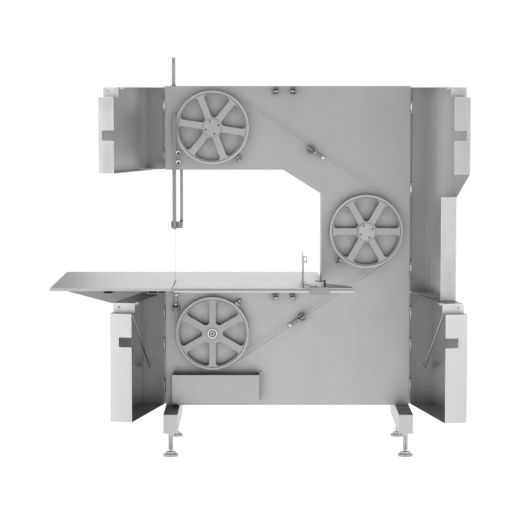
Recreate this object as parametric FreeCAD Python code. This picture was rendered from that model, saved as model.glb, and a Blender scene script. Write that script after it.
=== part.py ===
import FreeCAD, Part
import math
import os

# Three-wheel bone saw with a sheet-steel C frame, four doors, table and portion gauge.
# X runs along the front of the saw, Y from the front to the back, Z up. Millimetres.
# Measures are from the plate's centre line, the plate's front face and the floor;
# place() then moves everything so that the outline's centre stands at the origin.
outline_centre_x = -160.3
outline_centre_y = -92.0

# frame
plate_half = 667.0
plate_low = 228.0
plate_top = 1977.0
plate_thick = 5.0
arm_low = 1522.0
arm_end = -23.0
chamfer_low = 1390.0
column_left = 185.0
base_top = 896.0
arm_depth = 160.0
column_depth = 300.0
sheet = 3.0

# wheels and blade
wheel_radius = 200.0
wheel_front = -60.0
wheel_width = 34.0
rim_wall = 20.0
rim_lip = 13.0
web_set_back = 4.0
web_thick = 22.0
hub_radius = 52.0
hub_length = 44.0
window_inner = 56.0
window_corner = 15.0
spoke_width = 37.0
bearing_radius = 36.0
cap_radius = 46.0
cap_screw_circle = 36.0
lock_ring_radius = 27.0
shaft_tip_radius = 14.0
left_wheel_x = -410.0
right_wheel_x = 428.0
upper_wheel_z = 1753.0
middle_wheel_z = 1188.0
lower_wheel_z = 630.0
axle_radius = 20.0
axle_clearance = 12.0
running_gap = 0.05
blade_gap = 0.3
blade_thick = 0.6
blade_front = -66.0
blade_back = -44.0
blade_x = left_wheel_x - wheel_radius - blade_gap - blade_thick / 2
axle_slot = 16.0

# doors
door_sheet = 2.0
door_gap = 1.0
seam_x = -18.5
seam_gap = 3.0
upper_door_low = 1526.0
upper_door_top = 1970.0
upper_door_depth = 87.0
lower_door_low = 234.0
lower_door_top = 850.0
lower_door_depth = 118.0
column_door_low = 852.0
column_door_left = 186.0
notch_width = 62.0
notch_height = 50.0
hinge_offset = 8.0
pin_radius = 4.0
knuckle_radius = 7.0
left_upper_hinges = (1868.0, 1600.0)
right_upper_hinges = (1864.0, 1416.0, 985.0)
lower_hinges = (736.0, 562.0, 338.0)
upper_left_open = 110.4
upper_right_open = 104.4
lower_left_open = 102.3
lower_right_open = 101.0
upper_bolt_y = -62.0
lower_bolt_y = -86.0
upper_bolt_z = 1949.0
lower_bolt_z = 829.0
bolt_radius = 4.0
jamb_width = 16.0
leaf_height = 30.0
hinge_height = 76.0
brace_radius = 5.0

# table
table_top = 920.0
table_thick = 3.0
table_edge = 14.0
table_left = -1252.0
table_front = -500.0
table_back = 495.0
table_right = 181.0
table_corner_x = 335.0
corner_front = -395.0
corner_back = -180.0
slot_width = 5.0
insert_width = 21.0
channel_centres = (-946.0, -712.0)
channel_half = 26.0
bracket_end = -1206.0
bracket_deep = 190.0
bracket_shallow = 46.0

# gauge
rail_radius = 13.5
rail_y = -522.0
rail_z = 912.0
rail_left = -599.0
rail_right = 341.0
carriage_left = 111.0
carriage_right = 210.0
gauge_x = 78.0
gauge_top = 1085.0
gauge_thick = 3.0
grip_width = 17.0
grip_height = 30.0
grip_sheet = 2.5
lock_x = 188.0

# blade guide
post_x = -621.0
post_y = 34.0
post_radius = 9.0
post_top = 2131.0
guide_low = 1207.0
guide_high = 1240.0
guard_low = 1202.0
guard_high = 1824.0
guard_width = 16.0
guard_front = -80.0
guard_back = -62.0
guard_sheet = 1.5
bar_x = -580.0
bar_width = 16.0
bar_depth = 12.0
bar_top = 1830.0
guide_left = -634.0
guide_right = -572.0
guide_front = -60.0
jaw_left = -612.6
jaw_right = -608.6
jaw_back = -42.0
tongue_left = -619.5
tongue_right = -613.5
clamp_low = 1536.0
clamp_high = 1712.0
clamp_half = 38.0
clamp_screw_x = -595.0
clamp_screws = (1612.0, 1560.0)
knob_left = -702.0
knob_right = -676.0
knob_z = 1690.0
knob_lobes = 5
wiper_width = 28.0
lower_guide_low = 858.0
lower_guide_high = 892.0

# tray, beams and feet
tray_left = -629.0
tray_right = -155.0
tray_low = 252.0
tray_high = 407.0
tray_depth = 98.0
tray_sheet = 2.0
beam_width = 76.0
beam_height = 101.0
beam_front = -350.0
beam_back = 390.0
foot_front = -305.0
foot_back = 345.0
foot_radius = 40.0
foot_thick = 12.0
stem_radius = 13.0
nut_height = 12.0
nut_corner = 20.0
beam_wall = 4.0
motor_radius = 100.0
motor_flange_radius = 125.0
motor_back = 255.0

# wheel tension gear and controls
frame_left = left_wheel_x - 81
frame_right = left_wheel_x + 81
frame_front = arm_depth + 2
frame_back = 262.0
spindle_y = 226.0
spindle_radius = 10.0
tension_travel = 8.0
box_front = 70.0
box_back = 150.0
box_width = 80.0
button_x = -plate_half - box_width / 2
start_z = 1872.0
stop_z = 1826.0
emergency_z = 1766.0
gland_y = 220.0
gland_z = 330.0

os.makedirs("parts", exist_ok=True)


def vec(x, y, z):
    return FreeCAD.Vector(x, y, z)


def block(x0, x1, y0, y1, z0, z1):
    return Part.makeBox(x1 - x0, y1 - y0, z1 - z0, vec(x0, y0, z0))


def rod_x(x0, x1, y, z, radius):
    return Part.makeCylinder(radius, x1 - x0, vec(x0, y, z), vec(1, 0, 0))


def rod_y(x, y0, y1, z, radius):
    return Part.makeCylinder(radius, y1 - y0, vec(x, y0, z), vec(0, 1, 0))


def rod_z(x, y, z0, z1, radius):
    return Part.makeCylinder(radius, z1 - z0, vec(x, y, z0), vec(0, 0, 1))


def ring_y(x, y0, y1, z, outer, inner):
    return rod_y(x, y0, y1, z, outer).cut(rod_y(x, y0 - 1, y1 + 1, z, inner))


def sheet_y(points, y0, y1):
    # a flat outline in X and Z, thick from y0 to y1
    corners = [vec(x, y0, z) for x, z in points]
    face = Part.Face(Part.makePolygon(corners + corners[:1]))
    return face.extrude(vec(0, y1 - y0, 0))


def sheet_z(points, z0, z1):
    corners = [vec(x, y, z0) for x, y in points]
    face = Part.Face(Part.makePolygon(corners + corners[:1]))
    return face.extrude(vec(0, 0, z1 - z0))


def joined(shapes):
    whole = shapes[0].multiFuse(shapes[1:]) if len(shapes) > 1 else shapes[0]
    return whole.removeSplitter()


def without(shape, cutters):
    return shape.cut(Part.makeCompound(cutters)) if cutters else shape


def place(name, solids):
    group = Part.makeCompound(solids) if isinstance(solids, list) else solids
    group = group.copy()
    group.translate(vec(-outline_centre_x, -outline_centre_y, 0))
    group.exportStep("parts/" + name + ".step")


def frame_outline(inset):
    return [
        (-plate_half + inset, arm_low + inset),
        (arm_end + inset * 0.4, arm_low + inset),
        (column_left + inset, chamfer_low + inset * 0.4),
        (column_left + inset, base_top - inset),
        (-plate_half + inset, base_top - inset),
        (-plate_half + inset, plate_low + inset),
        (plate_half - inset, plate_low + inset),
        (plate_half - inset, plate_top - inset),
        (-plate_half + inset, plate_top - inset),
    ]


def axle_opening(x, z, rise, y0, y1):
    radius = axle_radius + axle_clearance
    hole = joined([rod_y(x, y0, y1, z, radius), rod_y(x, y0, y1, z - rise, radius)])
    return hole if rise == 0 else joined([hole, block(x - radius, x + radius, y0, y1, z - rise, z)])


def axle_openings(y0, y1):
    return [
        axle_opening(left_wheel_x, upper_wheel_z, axle_slot, y0, y1),
        rod_y(right_wheel_x, y0, y1, middle_wheel_z, axle_radius + axle_clearance),
        rod_y(left_wheel_x, y0, y1, lower_wheel_z, axle_radius + axle_clearance),
    ]


def make_back_plate():
    plate = sheet_y(frame_outline(0), 0, plate_thick)
    return without(plate, axle_openings(-1, plate_thick + 1))


def make_casings():
    # upper arm, column and base are welded sheet ducts behind the plate, open at the back
    y0 = plate_thick
    arm = block(-plate_half, column_left, y0, arm_depth, arm_low, plate_top)
    arm = joined([arm, sheet_y([(arm_end, arm_low), (column_left, chamfer_low), (column_left, arm_low)],
                               y0, arm_depth)])
    arm_inside = block(-plate_half + sheet, column_left - sheet, y0 - 1, arm_depth + 1,
                       arm_low + sheet, plate_top - sheet)
    column = block(column_left, plate_half, y0, column_depth, base_top, plate_top)
    column_inside = block(column_left + sheet, plate_half - sheet, y0 - 1, column_depth + 1,
                          base_top + sheet, plate_top - sheet)
    base = block(-plate_half, plate_half, y0, column_depth, plate_low, base_top)
    base_inside = block(-plate_half + sheet, plate_half - sheet, y0 - 1, column_depth + 1,
                        plate_low + sheet, base_top - sheet)
    post_hole = rod_z(post_x, post_y, arm_low - 1, plate_top + 1, post_radius + 3)
    bar_half = bar_width / 2 + 2
    bar_hole = block(bar_x - bar_half, bar_x + bar_half, post_y - bar_half, post_y + bar_half,
                     arm_low - 1, arm_low + 5)
    arm = without(arm, [arm_inside, post_hole, bar_hole])
    column = column.cut(column_inside)
    base = base.cut(base_inside)
    gland_hole = rod_x(plate_half - 5, plate_half + 1, gland_y, gland_z, 12)
    return arm, column, base.cut(gland_hole)


def make_jambs():
    # strips down the casing's sides that close the gap behind the hinged edges
    strips = []
    for side, low, top in ((-1, upper_door_low, upper_door_top), (-1, lower_door_low, lower_door_top),
                           (1, column_door_low, upper_door_top), (1, lower_door_low, lower_door_top)):
        near = side * plate_half
        far = side * (plate_half + jamb_width)
        strips.append(block(min(near, far), max(near, far), 13, 15, low, top))
    return strips


def make_rear_covers():
    arm = block(-plate_half, column_left - 1, arm_depth, arm_depth + 2, arm_low, plate_top)
    arm = arm.cut(axle_opening(left_wheel_x, upper_wheel_z, axle_slot, arm_depth - 1, arm_depth + 3))
    column = block(column_left, plate_half, column_depth, column_depth + 2, base_top, plate_top)
    base = block(-plate_half, plate_half, column_depth, column_depth + 2, plate_low, base_top - 1)
    return arm, column, base


def cover_screw(x, y, z):
    head = rod_y(x, y, y + 4, z, 6)
    return head.makeChamfer(1.2, [head.Edges[0]])


def make_cover_screws():
    edge = 22
    arm_y = arm_depth + 2
    rear_y = column_depth + 2
    spots = []
    for x in (-plate_half + edge, -300, -60, column_left - edge - 1):
        spots += [(x, arm_y, arm_low + edge), (x, arm_y, plate_top - edge)]
    for z in (base_top + edge, 1240, 1600, plate_top - edge):
        spots += [(column_left + edge, rear_y, z), (plate_half - edge, rear_y, z)]
    for x in (-plate_half + edge, -220, 220, plate_half - edge):
        spots += [(x, rear_y, plate_low + edge), (x, rear_y, base_top - edge)]
    return [cover_screw(x, y, z) for x, y, z in spots]


def make_base_beams():
    beams = []
    half = beam_width / 2
    low = plate_low - beam_height
    for side in (-1, 1):
        centre = side * (plate_half - half)
        tube = block(centre - half, centre + half, beam_front, beam_back, low, plate_low)
        hollow = block(centre - half + beam_wall, centre + half - beam_wall, beam_front + beam_wall,
                       beam_back - beam_wall, low + beam_wall, plate_low - beam_wall)
        beams.append(tube.cut(hollow))
    return beams


def foot_centres():
    x = plate_half - beam_width / 2
    return [(-x, foot_front), (x, foot_front), (-x, foot_back), (x, foot_back)]


def make_feet():
    pads = []
    stems = []
    nuts = []
    beam_low = plate_low - beam_height
    for x, y in foot_centres():
        boss_top = 2 * foot_thick
        pads.append(joined([rod_z(x, y, 0, foot_thick, foot_radius), rod_z(x, y, foot_thick, boss_top, 26)]))
        neck = rod_z(x, y, boss_top, boss_top + 10, 9)
        stems.append(joined([neck, rod_z(x, y, boss_top + 10, beam_low, stem_radius)]))
        corners = [(x + nut_corner * math.cos(math.radians(60 * k)),
                    y + nut_corner * math.sin(math.radians(60 * k))) for k in range(6)]
        nut = sheet_z(corners, beam_low - nut_height, beam_low)
        nuts.append(nut.cut(rod_z(x, y, beam_low - nut_height - 1, beam_low + 1, stem_radius)))
    return pads, stems, nuts


def wheel_window(angle):
    # one opening between two spokes: a wedge with round corners
    outer = wheel_radius - rim_wall
    half = spoke_width / 2
    wedge = 60.0
    lean = math.degrees(math.asin(half / outer))
    start = math.radians(lean)
    end = math.radians(wedge - lean)
    apex = half / math.sin(math.radians(wedge / 2))
    bisector = math.radians(wedge / 2)
    point = vec(apex * math.cos(bisector), 0, apex * math.sin(bisector))
    first = vec(outer * math.cos(start), 0, outer * math.sin(start))
    last = vec(outer * math.cos(end), 0, outer * math.sin(end))
    middle = vec(outer * math.cos(bisector), 0, outer * math.sin(bisector))
    edges = [Part.makeLine(point, first), Part.Arc(first, middle, last).toShape(), Part.makeLine(last, point)]
    face = Part.Face(Part.Wire(edges))
    solid = face.extrude(vec(0, wheel_width + 20, 0))
    hub = Part.makeCylinder(window_inner, wheel_width + 40, vec(0, -10, 0), vec(0, 1, 0))
    solid = solid.cut(hub)
    upright = [edge for edge in solid.Edges
               if abs(abs(edge.tangentAt(edge.FirstParameter).y) - 1) < 1e-6 and edge.Length > wheel_width]
    solid = solid.makeFillet(window_corner, upright)
    solid.translate(vec(0, wheel_front - 10, 0))
    solid.rotate(vec(0, 0, 0), vec(0, -1, 0), angle)
    return solid


def make_wheel(x, z, first_spoke, bore):
    # cast wheel: a flat web of six spokes inside a rim with a raised front lip
    face = wheel_front + web_set_back
    web = Part.makeCylinder(wheel_radius - 10, web_thick, vec(0, face, 0), vec(0, 1, 0))
    rim = Part.makeCylinder(wheel_radius, wheel_width, vec(0, wheel_front, 0), vec(0, 1, 0))
    rim = rim.cut(Part.makeCylinder(wheel_radius - rim_lip, wheel_width + 2, vec(0, wheel_front - 1, 0),
                                    vec(0, 1, 0)))
    hub = Part.makeCylinder(hub_radius, hub_length, vec(0, face, 0), vec(0, 1, 0))
    wheel = joined([web, rim, hub])
    wheel = without(wheel, [wheel_window(first_spoke + 60 * k) for k in range(6)])
    wheel = wheel.cut(Part.makeCylinder(bore, wheel_width + 80, vec(0, wheel_front - 20, 0), vec(0, 1, 0)))
    wheel.translate(vec(x, 0, z))
    return wheel


def make_bearings(x, z):
    return [ring_y(x, wheel_front + start, wheel_front + start + 14, z, bearing_radius,
                   axle_radius + running_gap) for start in (8, 28)]


def make_hub_cap(x, z, turn):
    cap = rod_y(x, wheel_front - 6, wheel_front + web_set_back, z, cap_radius)
    cap = cap.cut(rod_y(x, wheel_front, wheel_front + 5, z, axle_radius + 4))
    screws = []
    for k in range(4):
        angle = math.radians(turn + 90 * k)
        sx = x + cap_screw_circle * math.cos(angle)
        sz = z + cap_screw_circle * math.sin(angle)
        cap = cap.cut(rod_y(sx, wheel_front - 7, wheel_front - 1, sz, 5))
        screws.append(rod_y(sx, wheel_front - 3.5, wheel_front - 1, sz, 4.6))
    return [cap] + screws


def make_idler_axle():
    x = right_wheel_x
    z = middle_wheel_z
    shaft = rod_y(x, wheel_front + 4, 90, z, axle_radius)
    flange = rod_y(x, plate_thick, 25, z, 75)
    socket = rod_y(x, 25, 80, z, 42)
    bolts = [rod_y(x + 60 * math.cos(a), 25, 33, z + 60 * math.sin(a), 8)
             for a in [math.radians(45 + 90 * k) for k in range(4)]]
    return [joined([shaft, flange, socket])] + bolts


def make_drive_shaft():
    shaft = rod_y(left_wheel_x, wheel_front + 2, 120, lower_wheel_z, axle_radius)
    tip = rod_y(left_wheel_x, wheel_front - 6, wheel_front + 2, lower_wheel_z, shaft_tip_radius)
    ring = ring_y(left_wheel_x, wheel_front - 4, wheel_front + 2, lower_wheel_z, lock_ring_radius,
                  shaft_tip_radius + running_gap)
    return joined([shaft, tip]), ring


def make_drive_motor():
    x = left_wheel_x
    z = lower_wheel_z
    flange = rod_y(x, plate_thick, 20, z, motor_flange_radius)
    housing = rod_y(x, 20, motor_back, z, motor_radius)
    terminal = block(x + 40, x + 140, 90, 190, z + 60, z + 130)
    feet = block(x - 80, x + 80, 60, 200, z - motor_radius - 20, z - 80)
    motor = joined([flange, housing, terminal, feet])
    return motor.cut(rod_y(x, plate_thick - 1, 122, z, axle_radius + running_gap))


def band(outset, y0, y1):
    # the closed loop round the three wheels, outset from their rims
    radius = wheel_radius + outset
    hubs = [(left_wheel_x, lower_wheel_z), (right_wheel_x, middle_wheel_z), (left_wheel_x, upper_wheel_z)]
    shapes = [rod_y(x, y0, y1, z, radius) for x, z in hubs]
    corners = []
    for k, (x, z) in enumerate(hubs):
        nx, nz = hubs[(k + 1) % 3]
        run = math.hypot(nx - x, nz - z)
        out_x = (nz - z) / run * radius
        out_z = -(nx - x) / run * radius
        corners += [(x + out_x, z + out_z), (nx + out_x, nz + out_z)]
    shapes.append(sheet_y(corners, y0, y1))
    return joined(shapes)


def make_blade():
    outer = band(blade_gap + blade_thick, blade_front, blade_back)
    return outer.cut(band(blade_gap, blade_front - 1, blade_back + 1))


def turned(shape, hinge_x, angle):
    copy = shape.copy()
    copy.rotate(vec(hinge_x, 0, 0), vec(0, 0, 1), angle)
    return copy


def door_pan(outline, depth, cuts):
    # a folded sheet pan: skin at the front, walls all round, open towards the plate
    outer = sheet_y(outline, -depth, -door_gap)
    face = Part.Face(Part.makePolygon([vec(x, -depth, z) for x, z in outline + outline[:1]]))
    inner = face.makeOffset2D(-door_sheet, 2).extrude(vec(0, depth + 10, 0))
    inner.translate(vec(0, door_sheet, 0))
    return without(outer.cut(inner), cuts)


def door_knuckles(hinge_x, side, heights):
    # side is -1 on the left doors and 1 on the right ones
    shapes = []
    half = leaf_height / 2
    edge = hinge_x - side * hinge_offset
    for z in heights:
        barrel = rod_z(hinge_x, 0, z - half, z + half, knuckle_radius)
        leaf = block(min(hinge_x, edge), max(hinge_x, edge), -knuckle_radius, -door_gap, z - half, z + half)
        pin_hole = rod_z(hinge_x, 0, z - half - 5, z + half + 5, pin_radius + running_gap)
        shapes.append(joined([barrel, leaf]).cut(pin_hole))
    return shapes


def hinge_post(hinge_x, side, z):
    # plate side of a hinge: two knuckles and their pin, welded to the plate's edge
    edge = hinge_x - side * hinge_offset
    half = hinge_height / 2
    start = leaf_height / 2 + 0.5
    shapes = [rod_z(hinge_x, 0, z - half, z + half, pin_radius)]
    for low, high in ((z - half + 2, z - start), (z + start, z + half - 2)):
        shapes.append(rod_z(hinge_x, 0, low, high, knuckle_radius))
        shapes.append(block(min(hinge_x, edge), max(hinge_x, edge), 0, knuckle_radius, low, high))
    return joined(shapes)


def notch_side(side, seam_edge):
    return seam_edge + side * notch_width


def seam_edge(side):
    return seam_x + side * seam_gap / 2


def rectangle_outline(side, low, top):
    hinge_edge = side * plate_half
    free = seam_edge(side)
    inner = notch_side(side, free)
    points = [(hinge_edge, low), (free, low), (free, top - notch_height), (inner, top - notch_height),
              (inner, top), (hinge_edge, top)]
    return points if side < 0 else points[::-1]


def column_outline():
    free = seam_edge(1)
    inner = notch_side(1, free)
    top = upper_door_top
    return [
        (free, arm_low + 3),
        (column_door_left, chamfer_low + 3),
        (column_door_left, column_door_low),
        (plate_half, column_door_low),
        (plate_half, top),
        (inner, top),
        (inner, top - notch_height),
        (free, top - notch_height),
    ]


def blade_notch(side, z, height, depth):
    free = seam_edge(side)
    return block(free - 5, free + 5, -depth, 0, z - height / 2, z + height / 2)


def bolt_hole(side, y, z):
    wall = notch_side(side, seam_edge(side))
    return rod_x(wall - 5, wall + 5, y, z, 5)


def grip_notch(side, top):
    # a finger notch in the top wall of a door
    start = seam_edge(side) + side * 84
    return block(min(start, start + side * 46), max(start, start + side * 46), -14, 0, top - 3, top + 1)


def make_upper_left_door():
    outline = rectangle_outline(-1, upper_door_low, upper_door_top)
    guard_path = block(-627, -563, -upper_door_depth + door_sheet, 0, upper_door_low - 1, upper_door_low + 3)
    cuts = [blade_notch(-1, 1722, 54, 68), bolt_hole(-1, upper_bolt_y, upper_bolt_z), guard_path,
            grip_notch(-1, upper_door_top)]
    pan = door_pan(outline, upper_door_depth, cuts)
    hinge_x = -plate_half - hinge_offset
    return turned(joined([pan] + door_knuckles(hinge_x, -1, left_upper_hinges)), hinge_x, -upper_left_open)


def make_upper_right_door():
    blade_path = block(252, 308, -upper_door_depth + door_sheet, 0, column_door_low - 1, column_door_low + 3)
    cuts = [blade_notch(1, 1722, 54, 68), bolt_hole(1, upper_bolt_y, upper_bolt_z), blade_path,
            grip_notch(1, upper_door_top)]
    # the sloping edge has no wall
    slope = sheet_y([(seam_edge(1) + door_sheet, arm_low - 10), (column_door_left, chamfer_low - 10),
                     (column_door_left, chamfer_low + 9), (seam_edge(1) + door_sheet, arm_low + 9)],
                    -upper_door_depth + door_sheet, 0)
    pan = door_pan(column_outline(), upper_door_depth, cuts + [slope])
    hinge_x = plate_half + hinge_offset
    return turned(joined([pan] + door_knuckles(hinge_x, 1, right_upper_hinges)), hinge_x, upper_right_open)


def make_lower_door(side, angle, blade_left, blade_right):
    outline = rectangle_outline(side, lower_door_low, lower_door_top)
    blade_path = block(blade_left, blade_right, -82, 0, lower_door_top - 3, lower_door_top + 1)
    cuts = [blade_notch(side, 652, 52, 70), bolt_hole(side, lower_bolt_y, lower_bolt_z), blade_path,
            grip_notch(side, lower_door_top)]
    pan = door_pan(outline, lower_door_depth, cuts)
    hinge_x = side * (plate_half + hinge_offset)
    return turned(joined([pan] + door_knuckles(hinge_x, side, lower_hinges)), hinge_x, side * angle)


def make_door_brace(side, angle):
    # a stay rod from the hinged wall of a lower door up to its skin, with a foot at each end
    y = -75
    low = vec(side * (plate_half - 14), y, 438)
    top = vec(side * (plate_half - 392), y, 778)
    run = low.sub(top)
    rod = Part.makeCylinder(brace_radius, run.Length, top, run)
    wall = side * (plate_half - door_sheet)
    low_foot = block(min(low.x, wall), max(low.x, wall), y - 8, y + 8, low.z - 14, low.z + 14)
    top_foot = block(top.x - 14, top.x + 14, -lower_door_depth + door_sheet, y + 6, top.z - 10, top.z + 10)
    hinge_x = side * (plate_half + hinge_offset)
    return turned(joined([rod, low_foot, top_foot]), hinge_x, side * angle)


def mirrored_x(x, side):
    return x if side < 0 else 2 * seam_x - x


def span(x0, x1, side):
    a = mirrored_x(x0, side)
    b = mirrored_x(x1, side)
    return min(a, b), max(a, b)


def make_keeper(side, bolt_y, bolt_z):
    # an angle bracket on the plate that carries a door's sliding bolt
    front = bolt_y - 10
    outer = block(*span(-80, -77, side), front, 0, bolt_z - 16, bolt_z + 16)
    top = block(*span(-80, -52, side), front, 0, bolt_z + 13, bolt_z + 16)
    base = block(*span(-80, -52, side), -3, 0, bolt_z - 16, bolt_z + 16)
    lug = block(*span(-55, -52, side), bolt_y - 8, 0, bolt_z - 9, bolt_z + 9)
    bracket = joined([outer, top, base, lug])
    return bracket.cut(rod_x(*span(-90, -40, side), bolt_y, bolt_z, bolt_radius + running_gap))


def make_bolt(side, bolt_y, bolt_z):
    shank = rod_x(*span(-79.6, -50, side), bolt_y, bolt_z, bolt_radius)
    knob = rod_y(mirrored_x(-61, side), bolt_y - 16, bolt_y, bolt_z, 4.5)
    return joined([shank, knob])


def table_outline(inset):
    return [
        (table_left + inset, table_front + inset),
        (table_corner_x - inset, table_front + inset),
        (table_corner_x - inset, corner_front - inset * 0.5),
        (table_right - inset, corner_back - inset * 0.5),
        (table_right - inset, table_back - inset),
        (table_left + inset, table_back - inset),
    ]


def make_table():
    top = sheet_z(table_outline(0), table_top - table_edge, table_top)
    hollow = sheet_z(table_outline(table_thick), table_top - table_edge - 1, table_top - table_thick)
    slot = block(blade_x - slot_width / 2, blade_x + slot_width / 2, table_front - 1, -38,
                 table_top - table_edge - 1, table_top + 1)
    near = blade_x + slot_width / 2
    seat = block(near, near + insert_width + 0.5, table_front + 30, -20, table_top - 1.5, table_top + 1)
    return top.cut(hollow).cut(slot).cut(seat)


def make_table_insert():
    near = blade_x + slot_width / 2 + 0.5
    return block(near, near + insert_width - 0.5, table_front + 30.5, -20.5, table_top - 1.5, table_top)


def make_table_supports():
    # folded channels under the left wing, and blocks that seat the table on the base
    under = table_top - table_thick
    low = base_top - 4
    shapes = []
    for x in channel_centres:
        inner = channel_half - table_thick
        channel = block(x - channel_half, x + channel_half, table_front + 4, table_back - 4, low, under)
        shapes.append(channel.cut(block(x - inner, x + inner, table_front + 3, table_back - 3,
                                        low + table_thick, under + 1)))
    for x in (-420, 40):
        shapes.append(block(x - channel_half, x + channel_half, plate_thick, column_depth, base_top, under))
    return shapes


def make_wing_bracket():
    # two tapered cheeks and the strip that ties them, out from the side of the base
    shelf = base_top - 4
    thick = 4
    near = 84
    far = 284
    cheeks = []
    for y in (near, far):
        outline = [(-plate_half, shelf), (bracket_end, shelf), (bracket_end, shelf - bracket_shallow),
                   (-plate_half, shelf - bracket_deep)]
        cheeks.append(sheet_y(outline, y, y + thick))
    tie = sheet_y([(bracket_end, shelf - bracket_shallow), (bracket_end, shelf - bracket_shallow + thick),
                   (-plate_half, shelf - bracket_deep + thick), (-plate_half, shelf - bracket_deep)],
                  near + thick, far)
    return joined(cheeks + [tie])


def make_gauge_rail():
    rail = rod_x(rail_left, rail_right, rail_y, rail_z, rail_radius)
    posts = [block(x - 9, x + 9, rail_y + 6, table_front, rail_z - 6, table_top - 4) for x in (-540, -130, 280)]
    return joined([rail] + posts)


def make_gauge_carriage():
    body = block(carriage_left, carriage_right, rail_y - 27, table_front - 2, 893, 931)
    bore = rod_x(carriage_left - 1, carriage_right + 1, rail_y, rail_z, rail_radius + running_gap)
    throat = block(carriage_left - 1, carriage_right + 1, rail_y, table_front, rail_z - 9, rail_z + 7)
    return body.cut(bore).cut(throat).cut(rod_z(lock_x, rail_y - 10, 926, 932, 5 + running_gap))


def make_gauge_plate():
    front = table_front + 22
    left = gauge_x - gauge_thick / 2
    right = gauge_x + gauge_thick / 2
    back = front + 50
    outer = right + grip_width
    low = gauge_top - grip_height
    plate = block(left, right, front, -90, table_top + 3, gauge_top)
    foot = block(left, carriage_left + 40, front - 20, front + 60, 934, 940)
    arm = block(carriage_left, carriage_left + 40, rail_y - 20, front + 60, 931, 940)
    grip_top = block(right, outer, front, back, gauge_top - grip_sheet, gauge_top)
    grip_side = block(outer - grip_sheet, outer, front, back, low, gauge_top)
    grip_low = block(right, outer, front, back, low, low + grip_sheet)
    return joined([plate, foot, arm, grip_top, grip_side, grip_low])


def make_gauge_lock():
    stem = rod_z(lock_x, rail_y - 10, 926, 968, 5)
    handle = rod_x(lock_x - 50, lock_x, rail_y - 10, 962, 3)
    return joined([stem, handle])


def make_guide_post():
    rod = rod_z(post_x, post_y, guide_low + 4, post_top, post_radius)
    grooves = [rod_z(post_x, post_y, post_top - 22 + 8 * k, post_top - 20 + 8 * k, post_radius + 2).cut(
        rod_z(post_x, post_y, post_top - 23 + 8 * k, post_top - 19 + 8 * k, post_radius - 1)) for k in range(2)]
    return without(rod, grooves)


def make_guide_bar():
    return block(bar_x - bar_width / 2, bar_x + bar_width / 2, post_y - bar_depth / 2, post_y + bar_depth / 2,
                 guide_low + 4, bar_top)


def make_guide_block():
    arm = block(guide_left, guide_right, guide_front / 2, post_y + 12, guide_low, guide_high)
    nose = block(-627, guide_right, guide_front, guide_front / 2, guide_low, guide_high)
    tongue = block(tongue_left, tongue_right, guard_front + guard_sheet, guide_front, guide_low, guide_high)
    slot = block(jaw_left, jaw_right, guide_front - 1, jaw_back, guide_low - 1, guide_high + 1)
    post_hole = rod_z(post_x, post_y, guide_low + 4, guide_high + 1, post_radius)
    return joined([arm, nose, tongue]).cut(slot).cut(post_hole).cut(make_guide_bar())


def make_guide_jaws():
    # wear pieces each side of the blade and one behind it
    outer_face = blade_x - blade_thick / 2 - blade_gap
    inner_face = blade_x + blade_thick / 2 + blade_gap
    side_back = blade_back - 2
    return [
        block(jaw_left, outer_face, guide_front, side_back, guide_low, guide_high),
        block(inner_face, jaw_right, guide_front, side_back, guide_low, guide_high),
        block(jaw_left, jaw_right, blade_back + blade_gap, jaw_back, guide_low, guide_high),
    ]


def make_blade_guard():
    left = post_x
    right = left + guard_width
    outer = block(left, right, guard_front, guard_back, guard_low, guard_high)
    inside = block(left + guard_sheet, right - guard_sheet, guard_front + guard_sheet, guard_back + 1,
                   guard_low - 1, guard_high - guard_sheet)
    # the inner side stops short of the teeth, which leave the guard there on their way over the wheel
    relief = block(blade_x - 2, right + 1, blade_front - 1.5, guard_back + 1, guard_low - 1, guard_high + 1)
    return outer.cut(inside).cut(relief)


def make_post_clamp():
    # a block behind the plate that grips the post, a collar on the roof and two screw heads in front
    low = clamp_low - 36
    high = clamp_high + 88
    half_x = bar_width / 2 + 0.3
    half_y = bar_depth / 2 + 0.3
    body = block(-600 - clamp_half, -600 + clamp_half, plate_thick, post_y + 20, clamp_low, clamp_high)
    body = body.cut(rod_z(post_x, post_y, low, high, post_radius + running_gap))
    body = body.cut(block(bar_x - half_x, bar_x + half_x, post_y - half_y, post_y + half_y, low, high))
    collar = rod_z(post_x, post_y, plate_top, plate_top + 5, 13)
    collar = collar.cut(rod_z(post_x, post_y, plate_top - 1, plate_top + 6, post_radius + running_gap))
    heads = [ring_y(clamp_screw_x, -12, 0, z, 16, 7).fuse(rod_y(clamp_screw_x, -4, 0, z, 8)).removeSplitter()
             for z in clamp_screws]
    return [body, collar] + heads


def make_guide_knob():
    shank = rod_x(knob_right, -600 - clamp_half - 0.3, post_y, knob_z, 6)
    core = rod_x(knob_left + 2, knob_right, post_y, knob_z, 11)
    lobes = [rod_x(knob_left, knob_right, post_y + 10 * math.cos(a), knob_z + 10 * math.sin(a), 6.5)
             for a in [math.tau * k / knob_lobes for k in range(knob_lobes)]]
    return joined([shank, core] + lobes)


def tilted(shape, x, z, angle):
    copy = shape.copy()
    copy.rotate(vec(0, 0, 0), vec(0, -1, 0), angle)
    copy.translate(vec(x, 0, z))
    return copy


def wheel_scraper(x, z, angle, gap):
    half = wiper_width / 2
    wiper = block(wheel_radius + gap, wheel_radius + 20, -56, -30, -half, half)
    foot = block(wheel_radius + 8, wheel_radius + 36, -34, 0, -9, 9)
    screw = rod_y(wheel_radius + 30, -40, -34, 0, 6)
    return tilted(joined([wiper, foot, screw]), x, z, angle)


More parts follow.
